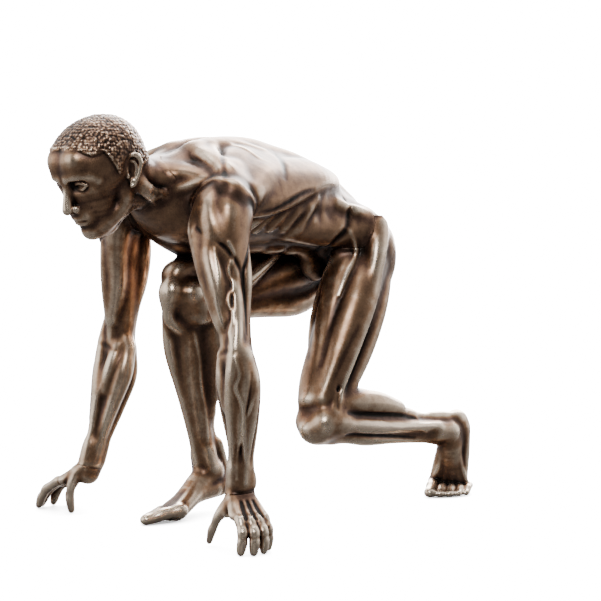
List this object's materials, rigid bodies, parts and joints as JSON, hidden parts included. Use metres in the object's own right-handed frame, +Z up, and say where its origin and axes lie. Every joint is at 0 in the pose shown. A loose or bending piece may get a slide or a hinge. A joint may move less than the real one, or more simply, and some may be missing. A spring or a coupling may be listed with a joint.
{
  "type": "figure trophy",
  "caption": "Bronze-finished statuette of a nude sprinter crouched at the start line on hands and toes, free-standing without a base.",
  "frame": {"origin": "middle of the figure's footprint, on the plane it stands on", "axes": "+Z up; the runner faces -X, so +X runs from the head to the raised rear heel and the runner's left side is -Y"},
  "size_m": [0.2112, 0.1438, 0.1704],
  "materials": {
    "bronze_casting": "dark brown bronze patina, rubbed to warm bronze on the raised forms and waxed to a gloss",
    "armature_steel": "plain drawn steel rod"
  },
  "bodies": {
    "root": {"head_casting": "bronze_casting", "torso_casting": "bronze_casting", "left_arm_casting": "bronze_casting", "right_arm_casting": "bronze_casting", "left_hand_casting": "bronze_casting", "right_hand_casting": "bronze_casting", "front_leg_casting": "bronze_casting", "rear_leg_casting": "bronze_casting", "left_arm_armature": "armature_steel", "right_arm_armature": "armature_steel", "front_leg_armature": "armature_steel", "rear_leg_armature": "armature_steel", "neck_dowel": "armature_steel", "neck_key_pin": "armature_steel", "left_shoulder_key_pin": "armature_steel", "right_shoulder_key_pin": "armature_steel", "left_wrist_key_pin": "armature_steel", "right_wrist_key_pin": "armature_steel", "front_hip_key_pin": "armature_steel", "rear_hip_key_pin": "armature_steel"}
  },
  "joints": []
}
